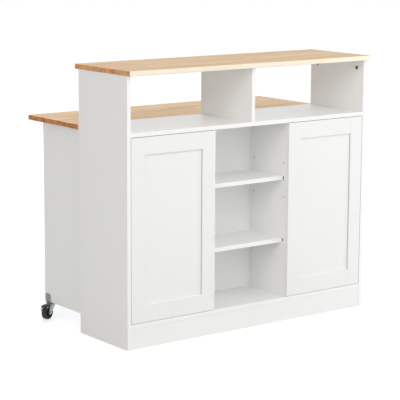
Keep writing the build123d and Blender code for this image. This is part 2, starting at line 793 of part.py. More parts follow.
def main():
    os.makedirs("parts", exist_ok=True)
    write("top_board", top_board())
    write("upper_divider", upper_divider())
    write("mid_shelf", mid_shelf())
    write("bottom_board", bottom_board())
    write("back_panel", back_panel())
    write("front_plinth", front_plinth())
    write("rear_plinth", rear_plinth())
    write("upper_niche_shelf", niche_shelf_upper())
    write("lower_niche_shelf", niche_shelf_lower())
    write("shelf_pins", shelf_pins())
    write("cam_locks", cam_locks())
    write("door_hinge_arms", door_hinge_arms())
    write("push_latch_bodies", push_latch_bodies())
    write("leaf_hinge_shelf_plates", leaf_hinge_shelf_plates())
    write("gate_hinge_side_plates", gate_hinge_side_plates())
    write("hinge_pins", hinge_pins())
    write("drop_leaf", drop_leaf())
    write("leaf_hinge_leaf_plates", leaf_hinge_leaf_plates())
    write_pair("side_panel", side_panel_left())
    write_pair("niche_divider", niche_divider_left())
    write_pair("cupboard_shelf", cupboard_shelf_left())
    write_pair("door_hinge_stile", door_stile(True))
    write_pair("door_free_stile", door_stile(False))
    write_pair("door_top_rail", door_rail(True))
    write_pair("door_bottom_rail", door_rail(False))
    write_pair("door_panel", door_panel())
    write_pair("hinge_cups", hinge_cups())
    write_pair("latch_plunger", latch_plunger())
    write_pair("gate_panel", gate_panel())
    write_pair("gate_hinge_plates", gate_hinge_gate_plates())
    write_pair("gate_support_pads", gate_support_pads())
    write_pair("castor_bracket", castor_bracket())
    write_pair("castor_fork", place_castor(castor_fork()))
    write_pair("castor_axle", place_castor(castor_axle()))
    write_pair("castor_wheel_core", place_castor(castor_wheel_core()))
    write_pair("castor_tyre", place_castor(castor_tyre()))
    write_pair("brake_pedal", place_castor(brake_pedal()))


main()
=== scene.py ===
import math

import bmesh
import bpy
from mathutils import Matrix, Vector


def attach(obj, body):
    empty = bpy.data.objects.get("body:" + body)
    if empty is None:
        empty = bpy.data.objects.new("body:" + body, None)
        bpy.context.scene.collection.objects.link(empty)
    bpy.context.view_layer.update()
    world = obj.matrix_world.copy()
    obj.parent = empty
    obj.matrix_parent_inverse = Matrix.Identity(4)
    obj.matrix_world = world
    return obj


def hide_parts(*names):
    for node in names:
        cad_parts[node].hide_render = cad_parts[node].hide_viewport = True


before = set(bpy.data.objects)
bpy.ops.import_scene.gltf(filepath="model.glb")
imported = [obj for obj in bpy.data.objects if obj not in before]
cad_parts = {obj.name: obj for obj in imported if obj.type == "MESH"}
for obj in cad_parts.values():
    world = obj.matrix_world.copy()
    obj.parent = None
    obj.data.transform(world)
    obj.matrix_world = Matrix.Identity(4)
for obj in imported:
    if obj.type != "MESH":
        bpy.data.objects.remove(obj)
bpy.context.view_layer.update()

# Blender works in metres, in the CAD frame: the doors face -Y, the leaf reaches towards +Y, Z is up.
MM = 0.001

# Places in the CAD, in millimetres. X is for the right half, and the left half mirrors it.
BOARD = 15
DOOR_FRONT = -310  # Y
DOOR_BACK = DOOR_FRONT + BOARD
PANEL_FACE = DOOR_FRONT + 7  # the floating panel's face, set back in the door's frame
DOOR_BOTTOM, DOOR_TOP = 91.5, 740.5  # Z
DOOR_NEAR, DOOR_FAR = 170, 531  # X, from the niche's side to the hinge side
STILE, RAIL = 55, 62  # widths
SIDE_INSIDE = 532.5  # X of the side panel's inner face
NICHE_WALL = 170  # X of the wall's face in the niche
NICHE_WALL_MIDDLE = NICHE_WALL + BOARD / 2
NICHE_WALL_FRONT = -294.2  # Y
BACK_PANEL_REAR = -85  # Y
BOTTOM_BOARD_MIDDLE = 82.5  # Z
FIXED_SHELF_MIDDLE = 299.5  # Z
MID_SHELF_UNDER = 742  # Z
LEAF_UNDER = 738.5  # Z, with the leaf up
LATCH_X = 205  # X of the push latch


# Nodes and colours


def add(tree, kind, inputs=None, **settings):
    """Adds one node. Settings are its properties. Inputs are its sockets: a value, or an output to link."""
    node = tree.nodes.new(kind)
    for name, value in settings.items():
        setattr(node, name, value)
    for key, value in (inputs or {}).items():
        if isinstance(value, bpy.types.Node):
            value = next(output for output in value.outputs if output.enabled)
        if isinstance(value, bpy.types.NodeSocket):
            tree.links.new(value, node.inputs[key])
        else:
            node.inputs[key].default_value = value
    return node


def paint(code):
    """An sRGB colour such as #e9cda9, as the linear values that a shader takes."""
    parts = [int(code[i:i + 2], 16) / 255 for i in (1, 3, 5)]
    linear = [c / 12.92 if c <= 0.04045 else ((c + 0.055) / 1.055) ** 2.4 for c in parts]
    return (*linear, 1)


def blank(name):
    """An empty material, with its node tree and the coordinates of the object itself."""
    material = bpy.data.materials.new(name)
    material.use_nodes = True
    tree = material.node_tree
    tree.nodes.clear()
    return material, tree, add(tree, "ShaderNodeTexCoord")


def surface(tree, inputs):
    """The material's shader, joined to its output."""
    shader = add(tree, "ShaderNodeBsdfPrincipled", inputs)
    add(tree, "ShaderNodeOutputMaterial", {"Surface": shader})


# A Mix node for colours takes its factor on socket 0 and its colours on sockets 6 and 7.
MIX_FACTOR, MIX_A, MIX_B = 0, 6, 7


# Boards


def melamine_faced_board(name, across):
    """White melamine paper pressed on particle board, with a whiter ABS edge band ironed on.
    The eye gets a satin sheet with a faint pearl grain, and crisper, smoother edges.
    across is the number of the axis through the board."""
    material, tree, place = blank(name)
    clouds = add(tree, "ShaderNodeTexNoise",
                 {"Vector": place.outputs["Object"], "Scale": 1 / (400 * MM), "Detail": 3})
    sheet = add(tree, "ShaderNodeMix",
                {MIX_FACTOR: clouds.outputs["Fac"], MIX_A: paint("#f7f7f6"), MIX_B: paint("#f4f4f3")},
                data_type="RGBA")
    facing = add(tree, "ShaderNodeSeparateXYZ", {"Vector": place.outputs["Normal"]})
    flat = add(tree, "ShaderNodeMath", {0: facing.outputs[across]}, operation="ABSOLUTE")
    band = add(tree, "ShaderNodeMath", {0: flat, 1: 0.6}, operation="LESS_THAN")
    colour = add(tree, "ShaderNodeMix", {MIX_FACTOR: band, MIX_A: sheet, MIX_B: paint("#f8f8f7")},
                 data_type="RGBA")
    # Pearl grain of about 0.4 mm, drawn 1.5 mm coarse so that it shows.
    pearl = add(tree, "ShaderNodeTexNoise",
                {"Vector": place.outputs["Object"], "Scale": 1 / (1.5 * MM), "Detail": 2})
    grain = add(tree, "ShaderNodeBump",
                {"Height": pearl.outputs["Fac"], "Strength": 0.35, "Distance": 0.03 * MM})
    gloss = add(tree, "ShaderNodeMapRange", {"Value": band, "To Min": 0.44, "To Max": 0.3})
    surface(tree, {"Base Color": colour, "Roughness": gloss, "Normal": grain, "IOR": 1.5})
    return material


def sprayed_fibreboard(name):
    """Medium-density fibreboard, sanded and sprayed with white satin lacquer.
    The eye gets a soft even white with a faint orange peel, and softer highlights than the melamine's."""
    material, tree, place = blank(name)
    clouds = add(tree, "ShaderNodeTexNoise",
                 {"Vector": place.outputs["Object"], "Scale": 1 / (250 * MM), "Detail": 2})
    colour = add(tree, "ShaderNodeMix",
                 {MIX_FACTOR: clouds.outputs["Fac"], MIX_A: paint("#f3f3f2"), MIX_B: paint("#f0f0ef")},
                 data_type="RGBA")
    # Orange peel of about 2 mm.
    peel = add(tree, "ShaderNodeTexNoise",
               {"Vector": place.outputs["Object"], "Scale": 1 / (2 * MM), "Detail": 1})
    skin = add(tree, "ShaderNodeBump",
               {"Height": peel.outputs["Fac"], "Strength": 0.3, "Distance": 0.02 * MM})
    gloss = add(tree, "ShaderNodeMapRange", {"Value": clouds.outputs["Fac"], "To Min": 0.36, "To Max": 0.42})
    surface(tree, {"Base Color": colour, "Roughness": gloss, "Normal": skin, "IOR": 1.5})
    return material


def raw_particle_board():
    """Chips pressed with resin, as a drill lays them bare: brown flecks of about 2 mm, quite rough."""
    material, tree, place = blank("raw_particle_board")
    flecks = add(tree, "ShaderNodeTexVoronoi", {"Vector": place.outputs["Object"], "Scale": 1 / (1.7 * MM)})
    tint = add(tree, "ShaderNodeSeparateXYZ", {"Vector": flecks.outputs["Color"]})
    colour = add(tree, "ShaderNodeMix",
                 {MIX_FACTOR: tint.outputs["X"], MIX_A: paint("#8a7054"), MIX_B: paint("#57432f")},
                 data_type="RGBA")
    surface(tree, {"Base Color": colour, "Roughness": 0.9, "IOR": 1.5})
    return material


# Wood: staves 42 mm wide, in lengths of 380 mm
STAVE_WIDTH, STAVE_LENGTH = 42 * MM, 380 * MM


def staves(tree, spot, first_joint):
    """Where a point is across its stave and along its length, both from 0 to 1, with a chance number for
    the stave and a chance node for the length. first_joint is the Y of one glue line."""
    shifted = add(tree, "ShaderNodeMath", {0: spot.outputs["Y"], 1: first_joint}, operation="SUBTRACT")
    across = add(tree, "ShaderNodeMath", {0: shifted, 1: STAVE_WIDTH}, operation="DIVIDE")
    stave = add(tree, "ShaderNodeMath", {0: across}, operation="FLOOR")
    within = add(tree, "ShaderNodeMath", {0: across}, operation="FRACT")
    stave_chance = add(tree, "ShaderNodeTexWhiteNoise", {"W": stave}, noise_dimensions="1D")
    offset = add(tree, "ShaderNodeMath", {0: stave_chance.outputs["Value"], 1: 7.3}, operation="MULTIPLY")
    along = add(tree, "ShaderNodeMath", {0: spot.outputs["X"], 1: STAVE_LENGTH}, operation="DIVIDE")
    run = add(tree, "ShaderNodeMath", {0: along, 1: offset}, operation="ADD")
    length = add(tree, "ShaderNodeMath", {0: run}, operation="FLOOR")
    within_run = add(tree, "ShaderNodeMath", {0: run}, operation="FRACT")
    key = add(tree, "ShaderNodeCombineXYZ", {"X": stave, "Y": length})
    chance = add(tree, "ShaderNodeTexWhiteNoise", {"Vector": key}, noise_dimensions="2D")
    return within, within_run, stave_chance.outputs["Value"], chance


def drawn_out_noise(tree, place, long, wide, look, moved=None):
    """Noise drawn out along X, with marks of the given length and width in millimetres.
    look is its detail, and moved shifts it."""
    inputs = {"Vector": place.outputs["Object"], "Scale": (1 / (long * MM), 1 / (wide * MM), 1 / (wide * MM))}
    if moved:
        inputs["Location"] = moved
    at = add(tree, "ShaderNodeMapping", inputs)
    return add(tree, "ShaderNodeTexNoise", {"Vector": at, "Scale": 1, **look}).outputs["Fac"]


def end_grain(tree, place, spot, within, stave_chance, end, ring):
    """Rings about 3 mm apart, with a centre of its own below each stave, and darker heart wood in patches."""
    low = add(tree, "ShaderNodeMath", {0: within, 1: stave_chance}, operation="SUBTRACT")
    side = add(tree, "ShaderNodeMath", {0: low, 1: STAVE_WIDTH}, operation="MULTIPLY")
    rise = add(tree, "ShaderNodeMath", {0: stave_chance, 1: 60 * MM, 2: spot.outputs["Z"]},
               operation="MULTIPLY_ADD")
    height = add(tree, "ShaderNodeMath", {0: rise, 1: 700 * MM}, operation="SUBTRACT")
    from_heart = add(tree, "ShaderNodeCombineXYZ", {"X": side, "Y": height})
    radius = add(tree, "ShaderNodeVectorMath", {0: from_heart}, operation="LENGTH")
    turns = add(tree, "ShaderNodeMath", {0: radius.outputs["Value"], 1: 2 * math.pi / (3 * MM)},
                operation="MULTIPLY")
    wave = add(tree, "ShaderNodeMath", {0: turns}, operation="SINE")
    patches_at = add(tree, "ShaderNodeMapping",
                     {"Vector": place.outputs["Object"], "Scale": (1, 1 / (29.4 * MM), 1 / (14.3 * MM))})
    patches = add(tree, "ShaderNodeTexNoise",
                  {"Vector": patches_at, "Scale": 1, "Detail": 3, "Roughness": 0.6})
    heart = add(tree, "ShaderNodeMapRange",
                {"Value": patches.outputs["Fac"], "From Min": 0.36, "From Max": 0.66, "To Max": 0.8})
    late_wood = add(tree, "ShaderNodeMath", {0: wave, 1: 0.14, 2: heart}, operation="MULTIPLY_ADD",
                    use_clamp=True)
    return add(tree, "ShaderNodeMix", {MIX_FACTOR: late_wood, MIX_A: paint(end), MIX_B: paint(ring)},
               data_type="RGBA")


def glued_joints(tree, within, within_run):
    """1 on a hairline of 0.7 mm where two staves or two lengths meet, and 0 elsewhere."""
    lines = []
    for part, size in ((within, STAVE_WIDTH), (within_run, STAVE_LENGTH)):
        from_middle = add(tree, "ShaderNodeMath", {0: part, 1: 0.5}, operation="SUBTRACT")
        distance = add(tree, "ShaderNodeMath", {0: from_middle}, operation="ABSOLUTE")
        lines.append(add(tree, "ShaderNodeMath", {0: distance, 1: 0.5 - 0.35 * MM / size},
                         operation="GREATER_THAN"))
    return add(tree, "ShaderNodeMath", {0: lines[0], 1: lines[1]}, operation="MAXIMUM")


def oiled_edge_glued_wood(name, first_joint, face, streak, edge, end, ring, unoiled):
    """Pale hardwood staves, finger-jointed and glued edge to edge, sanded and oiled, with a paler underside.
    The eye gets long fine grain that changes from stave to stave, long edges painted paler as a painted
    highlight, and darker end grain with rings. face and streak are the colours of the broad side, edge is the
    painted highlight's colour on the long edges, end and ring those of the end grain.
    unoiled is how far the underside stays pale, from 0 to 1."""
    material, tree, place = blank(name)
    spot = add(tree, "ShaderNodeSeparateXYZ", {"Vector": place.outputs["Object"]})
    facing = add(tree, "ShaderNodeSeparateXYZ", {"Vector": place.outputs["Normal"]})
    within, within_run, stave_chance, chance = staves(tree, spot, first_joint)

    # Fine streaks, with a grain of its own in each length of wood, broad figure under them, and pores.
    moved = chance.outputs["Color"]
    fine = {"Detail": 5, "Roughness": 0.62, "Distortion": 0.25}
    streaks = drawn_out_noise(tree, place, 200, 3.85, fine, moved)
    figure = drawn_out_noise(tree, place, 455, 21.7, {"Detail": 3, "Distortion": 0.8}, moved)
    pores = drawn_out_noise(tree, place, 14.3, 0.53, {"Detail": 2})
    open_pore = add(tree, "ShaderNodeMapRange",
                    {"Value": pores, "From Min": 0.62, "From Max": 0.74, "To Max": 0.5})
    blend = add(tree, "ShaderNodeMath", {0: streaks, 1: figure}, operation="ADD")
    depth = add(tree, "ShaderNodeMapRange", {"Value": blend, "From Min": 0.72, "From Max": 1.28})

    # Each side of the board has its own look, told apart by the way that it faces. The long edges across Y
    # are
    # painted paler than the faces: a painted highlight for the light that falls on them.
    broad = add(tree, "ShaderNodeMix", {MIX_FACTOR: depth, MIX_A: paint(face), MIX_B: paint(streak)},
                data_type="RGBA")
    edge_on = add(tree, "ShaderNodeMath", {0: facing.outputs["Y"]}, operation="ABSOLUTE")
    painted_highlight_mask = add(tree, "ShaderNodeMapRange", {"Value": edge_on, "From Min": 0.55, "From Max": 0.8})
    painted_highlight_streak = add(tree, "ShaderNodeMix", {MIX_FACTOR: 0.22, MIX_A: paint(edge), MIX_B: broad},
                      data_type="RGBA")
    painted_highlight_edge = add(tree, "ShaderNodeMix", {MIX_FACTOR: depth, MIX_A: paint(edge), MIX_B: painted_highlight_streak},
                    data_type="RGBA")
    sides = add(tree, "ShaderNodeMix", {MIX_FACTOR: painted_highlight_mask, MIX_A: broad, MIX_B: painted_highlight_edge},
                data_type="RGBA")
    below = add(tree, "ShaderNodeMapRange",
                {"Value": facing.outputs["Z"], "From Min": -0.5, "From Max": -0.8})
    pale = add(tree, "ShaderNodeMix", {MIX_FACTOR: unoiled, MIX_A: sides, MIX_B: paint("#eeece8")},
               data_type="RGBA")
    outside = add(tree, "ShaderNodeMix", {MIX_FACTOR: below, MIX_A: sides, MIX_B: pale}, data_type="RGBA")
    end_on = add(tree, "ShaderNodeMath", {0: facing.outputs["X"]}, operation="ABSOLUTE")
    is_end = add(tree, "ShaderNodeMapRange", {"Value": end_on, "From Min": 0.55, "From Max": 0.8})
    ends = end_grain(tree, place, spot, within, stave_chance, end, ring)
    bare = add(tree, "ShaderNodeMix", {MIX_FACTOR: is_end, MIX_A: outside, MIX_B: ends}, data_type="RGBA")

    # Each length is a little lighter or darker, pores are dark, and a hairline marks each glued joint.
    tone = add(tree, "ShaderNodeMapRange", {"Value": chance.outputs["Value"], "To Min": 0.93, "To Max": 1.06})
    toned = add(tree, "ShaderNodeHueSaturation", {"Color": bare, "Value": tone})
    pored = add(tree, "ShaderNodeMix", {MIX_FACTOR: open_pore, MIX_A: toned, MIX_B: paint(streak)},
                data_type="RGBA")
    joint = glued_joints(tree, within, within_run)
    joint_depth = add(tree, "ShaderNodeMath", {0: joint, 1: 0.5}, operation="MULTIPLY")
    colour = add(tree, "ShaderNodeMix", {MIX_FACTOR: joint_depth, MIX_A: pored, MIX_B: paint(ring)},
                 data_type="RGBA")

    relief = add(tree, "ShaderNodeMath", {0: streaks, 1: open_pore}, operation="SUBTRACT")
    bump = add(tree, "ShaderNodeBump", {"Height": relief, "Strength": 0.3, "Distance": 0.05 * MM})
    gloss = add(tree, "ShaderNodeMapRange", {"Value": streaks, "To Min": 0.42, "To Max": 0.55})
    surface(tree, {"Base Color": colour, "Roughness": gloss, "Normal": bump, "IOR": 1.5})
    return material


# Metals and plastics


def cloudy_metal(name, light, dark, patch, gloss, relief):
    """A metal whose plating or casting skin is a little uneven.
    patch is the size of its patches and gloss its roughness range."""
    material, tree, place = blank(name)
    clouds = add(tree, "ShaderNodeTexNoise",
                 {"Vector": place.outputs["Object"], "Scale": 1 / patch, "Detail": 4})
    colour = add(tree, "ShaderNodeMix",
                 {MIX_FACTOR: clouds.outputs["Fac"], MIX_A: paint(light), MIX_B: paint(dark)},
                 data_type="RGBA")
    rough = add(tree, "ShaderNodeMapRange",
                {"Value": clouds.outputs["Fac"], "To Min": gloss[0], "To Max": gloss[1]})
    skin = add(tree, "ShaderNodeTexNoise",
               {"Vector": place.outputs["Object"], "Scale": 1 / (1.1 * MM), "Detail": 2})
    bump = add(tree, "ShaderNodeBump", {"Height": skin.outputs["Fac"], "Strength": 0.3, "Distance": relief})
    surface(tree, {"Base Color": colour, "Metallic": 1.0, "Roughness": rough, "Normal": bump})
    return material


def moulded_plastic(name, light, dark, gloss, grain, ior):
    """Injection-moulded plastic, with the fine spark-eroded grain of its mould.
    gloss is its roughness range and grain the size of that grain."""
    material, tree, place = blank(name)
    clouds = add(tree, "ShaderNodeTexNoise",
                 {"Vector": place.outputs["Object"], "Scale": 1 / (22 * MM), "Detail": 3})
    colour = add(tree, "ShaderNodeMix",
                 {MIX_FACTOR: clouds.outputs["Fac"], MIX_A: paint(light), MIX_B: paint(dark)},
                 data_type="RGBA")
    rough = add(tree, "ShaderNodeMapRange",
                {"Value": clouds.outputs["Fac"], "To Min": gloss[0], "To Max": gloss[1]})
    skin = add(tree, "ShaderNodeTexNoise",
               {"Vector": place.outputs["Object"], "Scale": 1 / grain, "Detail": 1})
    bump = add(tree, "ShaderNodeBump",
               {"Height": skin.outputs["Fac"], "Strength": 0.4, "Distance": 0.03 * MM})
    surface(tree, {"Base Color": colour, "Roughness": rough, "Normal": bump, "IOR": ior})
    return material


def clear_silicone():
    """Clear silicone rubber, moulded in little domes: milky, soft, half see-through."""
    material, tree, _ = blank("clear_silicone")
    surface(tree, {"Base Color": paint("#eef0ee"), "Roughness": 0.35, "IOR": 1.41,
                   "Transmission Weight": 0.6})
    return material


# Upright boards run front to back or side to side, and shelves lie flat, so each kind has its edges on
# other sides.
board_lying = melamine_faced_board("melamine_board_lying", 2)
board_side = melamine_faced_board("melamine_board_side", 0)
board_cross = melamine_faced_board("melamine_board_cross", 1)
door_paint = sprayed_fibreboard("sprayed_fibreboard")
bare_chips = raw_particle_board()
# The edge colours are a painted highlight: the long edges are painted paler than the faces, for the light
# that falls on them.
top_wood = oiled_edge_glued_wood("edge_glued_wood_top", -309 * MM, face="#e2c59a", streak="#c89d68",
                                 edge="#fff6e2", end="#e0a468", ring="#ac7038", unoiled=0.9)
# The leaf's face and streak are painted lighter than the top's: a painted lift for the shade that the tall
# cabinet casts on the leaf.
leaf_wood = oiled_edge_glued_wood("edge_glued_wood_leaf", 12 * MM, face="#f5d6a8", streak="#d2a066",
                                  edge="#f6e6cc", end="#d0862a", ring="#6a3610", unoiled=0.35)
# Mild steel, pressed and bright zinc plated: cool grey, slightly cloudy, with soft reflections.
zinc_plate = cloudy_metal("bright_zinc_plate", "#b4b6b8", "#a0a2a5", 12 * MM, (0.3, 0.42), 0.01 * MM)
# The same steel with a yellow-grey chromate on its zinc: darker, duller and blotchy.
chromate_plate = cloudy_metal("chromated_zinc_plate", "#aaaaa2", "#5c5c55", 5 * MM, (0.4, 0.55), 0.02 * MM)
# Zinc alloy, die cast and barrel tumbled: darker and duller than plate, with a pebbled skin.
zinc_casting = cloudy_metal("zinc_alloy_casting", "#77797b", "#646668", 4 * MM, (0.5, 0.6), 0.04 * MM)
# Nylon, moulded black: a dark satin with broad highlights.
nylon = moulded_plastic("black_nylon", "#1d1e20", "#26272a", (0.42, 0.52), 0.8 * MM, 1.53)
# Thermoplastic rubber, moulded round the wheel: as dark, with hardly any gloss.
tyre_rubber = moulded_plastic("thermoplastic_rubber", "#1c1d1e", "#26272a", (0.6, 0.72), 0.6 * MM, 1.5)
# ABS, moulded white: satin, and a little creamier than the boards. The grey one is for grips.
white_abs = moulded_plastic("white_abs", "#ecebe7", "#e4e3de", (0.35, 0.45), 1.0 * MM, 1.54)
grey_abs = moulded_plastic("grey_abs", "#c4c6c8", "#b6b8bb", (0.38, 0.5), 1.0 * MM, 1.54)
# Polyethylene, moulded in grey: soft, matt and waxy, for the caps by the niche shelves. The grey strips at
# the doors take it as painted shade.
grey_polyethylene_and_shade = moulded_plastic("grey_polyethylene_and_shade", "#7c7c7b", "#717170", (0.5, 0.6), 0.6 * MM, 1.51)
silicone = clear_silicone()

FINISH_OF = {
    board_lying: ["mid_shelf", "bottom_board", "upper_niche_shelf", "lower_niche_shelf",
                  "left_cupboard_shelf", "right_cupboard_shelf"],
    board_side: ["left_side_panel", "right_side_panel", "upper_divider", "left_niche_divider",
                 "right_niche_divider", "left_gate_panel", "right_gate_panel"],
    board_cross: ["back_panel", "front_plinth", "rear_plinth"],
    door_paint: [f"{side}_door_{part}" for side in ("left", "right")
                 for part in ("hinge_stile", "free_stile", "top_rail", "bottom_rail", "panel")],
    top_wood: ["top_board"],
    leaf_wood: ["drop_leaf"],
    zinc_plate: ["door_hinge_arms", "left_hinge_cups", "right_hinge_cups", "leaf_hinge_shelf_plates",
                 "leaf_hinge_leaf_plates", "gate_hinge_side_plates", "left_gate_hinge_plates",
                 "right_gate_hinge_plates", "hinge_pins", "shelf_pins", "left_castor_fork",
                 "right_castor_fork", "left_castor_axle", "right_castor_axle"],
    chromate_plate: ["left_castor_bracket", "right_castor_bracket"],
    zinc_casting: ["cam_locks"],
    nylon: ["left_castor_wheel_core", "right_castor_wheel_core", "left_brake_pedal", "right_brake_pedal"],
    tyre_rubber: ["left_castor_tyre", "right_castor_tyre"],
    white_abs: ["push_latch_bodies", "left_latch_plunger", "right_latch_plunger",
                "left_gate_support_pads", "right_gate_support_pads"],
}
for finish, names in FINISH_OF.items():
    for name in names:
        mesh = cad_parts[name].data
        mesh.materials.clear()
        mesh.materials.append(finish)


# Making pieces


def riding(name, mesh, body):
    """A mesh as a piece of the scene that moves with a body."""
    piece = bpy.data.objects.new(name, mesh)
    bpy.context.collection.objects.link(piece)
    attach(piece, body)
    return piece


def grown(name, mesh, tree, given, body):
    """The piece that a geometry tree makes from a mesh and from its given inputs, as one plain mesh."""
    holder = bpy.data.objects.new(name, mesh)
    bpy.context.collection.objects.link(holder)
    maker = holder.modifiers.new("maker", "NODES")
    maker.node_group = tree
    for item in tree.interface.items_tree:
        if item.name in given:
            maker[item.identifier] = given[item.name]
    bpy.context.view_layer.update()
    graph = bpy.context.evaluated_depsgraph_get()
    made = bpy.data.meshes.new_from_object(holder.evaluated_get(graph))
    bpy.data.objects.remove(holder)
    made.name = name
    return riding(name, made, body)


def piece_of(parts, finish, name, body):
    """One piece from (points, faces) parts, with its faces outward and creases over 35 degrees kept sharp."""
    shell = bmesh.new()
    for points, faces in parts:
        corners = [shell.verts.new(point) for point in points]
        for face in faces:
            shell.faces.new([corners[i] for i in face])
    bmesh.ops.remove_doubles(shell, verts=shell.verts, dist=1e-6)
    bmesh.ops.recalc_face_normals(shell, faces=shell.faces)
    for face in shell.faces:
        face.smooth = True
    for edge in shell.edges:
        if len(edge.link_faces) == 2 and edge.calc_face_angle(0) > math.radians(35):
            edge.smooth = False
    mesh = bpy.data.meshes.new(name)
    shell.to_mesh(mesh)
    shell.free()
    mesh.materials.append(finish)
    return riding(name, mesh, body)


def turned_parts(profiles, steps, place):
    """Points and faces of closed (along, out) profiles turned round the X axis, then put in place."""
    points, faces = [], []
    for profile in profiles:
        start, count = len(points), len(profile)
        for step in range(steps):
            angle = 2 * math.pi * step / steps
            points += [place @ Vector((a, r * math.cos(angle), r * math.sin(angle))) for a, r in profile]
        for step in range(steps):
            here, there = start + step * count, start + (step + 1) % steps * count
            for i in range(count):
                j = (i + 1) % count
                faces.append((here + i, here + j, there + j, there + i))
    return points, faces


def extruded(outline, low, high, place):
    """Points and faces of a flat (x, z) outline pushed from y low to y high."""
    points = [place @ Vector((x, y, z)) for y in (low, high) for x, z in outline]
    count = len(outline)
    faces = [tuple(range(count)), tuple(range(2 * count - 1, count - 1, -1))]
    faces += [(i, (i + 1) % count, count + (i + 1) % count, count + i) for i in range(count)]
    return points, faces


def bar_on_end(x, y, z, sign):
    """Points and faces of a straight bar, from its (low, high) ranges in millimetres, on the side of sign."""
    outline = [(x[0], y[0]), (x[1], y[0]), (x[1], y[1]), (x[0], y[1])]
    points = [Vector((sign * a, b, height)) * MM for height in z for a, b in outline]
    faces = [(3, 2, 1, 0), (4, 5, 6, 7)]
    faces += [(i, (i + 1) % 4, (i + 1) % 4 + 4, i + 4) for i in range(4)]
    return points, faces


# Screws


def screw_heads_tree():
    """Countersunk heads with a cross recess, one at each point, square to the point's facing."""
    tree = bpy.data.node_groups.new("countersunk_screw_heads", "GeometryNodeTree")
    for name, kind in (("Places", "Geometry"), ("Head radius", "Float"), ("Head height", "Float"),
                       ("Recess length", "Float"), ("Recess width", "Float"), ("Finish", "Material")):
        tree.interface.new_socket(name, in_out="INPUT", socket_type=f"NodeSocket{kind}")
    tree.interface.new_socket("Heads", in_out="OUTPUT", socket_type="NodeSocketGeometry")
    given = add(tree, "NodeGroupInput").outputs
    crown = add(tree, "ShaderNodeMath", {0: given["Head radius"], 1: 0.8}, operation="MULTIPLY")
    head = add(tree, "GeometryNodeMeshCone", {"Vertices": 20, "Radius Top": crown,
                                              "Radius Bottom": given["Head radius"],
                                              "Depth": given["Head height"]})
    deep = add(tree, "ShaderNodeMath", {0: given["Head height"], 1: 1.4}, operation="MULTIPLY")
    cross = add(tree, "GeometryNodeMeshBoolean", operation="UNION", solver="EXACT")
    for x, y in (("Recess length", "Recess width"), ("Recess width", "Recess length")):
        size = add(tree, "ShaderNodeCombineXYZ", {"X": given[x], "Y": given[y], "Z": deep})
        bar = add(tree, "GeometryNodeMeshCube", {"Size": size})
        tree.links.new(bar.outputs["Mesh"], cross.inputs["Mesh 2"])
    up = add(tree, "ShaderNodeCombineXYZ", {"Z": given["Head height"]})
    lifted = add(tree, "GeometryNodeTransform", {"Geometry": cross.outputs["Mesh"], "Translation": up})
    cut = add(tree, "GeometryNodeMeshBoolean", {"Mesh 1": head.outputs["Mesh"]}, operation="DIFFERENCE",
              solver="EXACT")
    tree.links.new(lifted.outputs["Geometry"], cut.inputs["Mesh 2"])
    facing = add(tree, "GeometryNodeInputNamedAttribute", {"Name": "facing"}, data_type="FLOAT_VECTOR")
    upright = add(tree, "FunctionNodeAlignRotationToVector", {"Vector": facing.outputs["Attribute"]},
                  axis="Z")
    # The screws were driven by hand, so each recess stops at an angle of its own.
    spin = add(tree, "FunctionNodeRandomValue", {"Max": (0, 0, math.pi / 2), "Seed": 7},
               data_type="FLOAT_VECTOR")
    turn = add(tree, "FunctionNodeEulerToRotation", {"Euler": spin.outputs["Value"]})
    driven = add(tree, "FunctionNodeRotateRotation", {"Rotation": upright, "Rotate By": turn},
                 rotation_space="LOCAL")
    each = add(tree, "GeometryNodeInstanceOnPoints",
               {"Points": given["Places"], "Instance": cut.outputs["Mesh"], "Rotation": driven})
    real = add(tree, "GeometryNodeRealizeInstances", {"Geometry": each})
    finished = add(tree, "GeometryNodeSetMaterial", {"Geometry": real, "Material": given["Finish"]})
    add(tree, "NodeGroupOutput", {"Heads": finished})
    return tree


screw_heads = screw_heads_tree()


def screws(name, body, places, radius):
    """Screw heads at (point, facing) places, in millimetres, on one body."""
    mesh = bpy.data.meshes.new(name)
    mesh.from_pydata([Vector(point) * MM for point, _ in places], [], [])
    facing = mesh.attributes.new("facing", "FLOAT_VECTOR", "POINT")
    facing.data.foreach_set("vector", [number for _, way in places for number in way])
    given = {"Head radius": radius * MM, "Head height": 0.6 * MM, "Recess length": radius * 1.1 * MM,
             "Recess width": radius * 0.26 * MM, "Finish": zinc_plate}
    grown(name, mesh, screw_heads, given, body)


def mirrored(places):
    """The same (point, facing) places on the other half of the cabinet."""
    return [((-p[0], p[1], p[2]), (-n[0], n[1], n[2])) for p, n in places]


# Gate hinges: three screws in the plate on the side panel, and two in the gate's own plate.
GATE_HINGES_Z = (150, 650)
side_plate_screws = [((-SIDE_INSIDE + 1.2, y, z + up), (1, 0, 0))
                     for z in GATE_HINGES_Z for y, up in ((-25, -20), (-28, 0), (-25, 20))]
gate_plate_screws = [((-520.2, -11.7, z + up), (0, -1, 0)) for z in GATE_HINGES_Z for up in (-21, 21)]
# Door hinges: two screws in each cup's flange and in each mounting plate, and two that adjust the arm.
CUPS_Z = (191.5, 640.5)
flange_screws = [((-DOOR_FAR + 22.5, DOOR_BACK + 1, z + up), (0, 1, 0)) for z in CUPS_Z for up in (-24, 24)]
plate_screws = [((-SIDE_INSIDE + 2.5, -256.5, z + up), (1, 0, 0)) for z in CUPS_Z for up in (-16.5, 16.5)]
arm_screws = [((-518.5, y, z), (1, 0, 0)) for z in CUPS_Z for y in (-258, -240)]
latch_screws = [((-LATCH_X, y, MID_SHELF_UNDER - 13), (0, 0, -1)) for y in (-278, -230)]
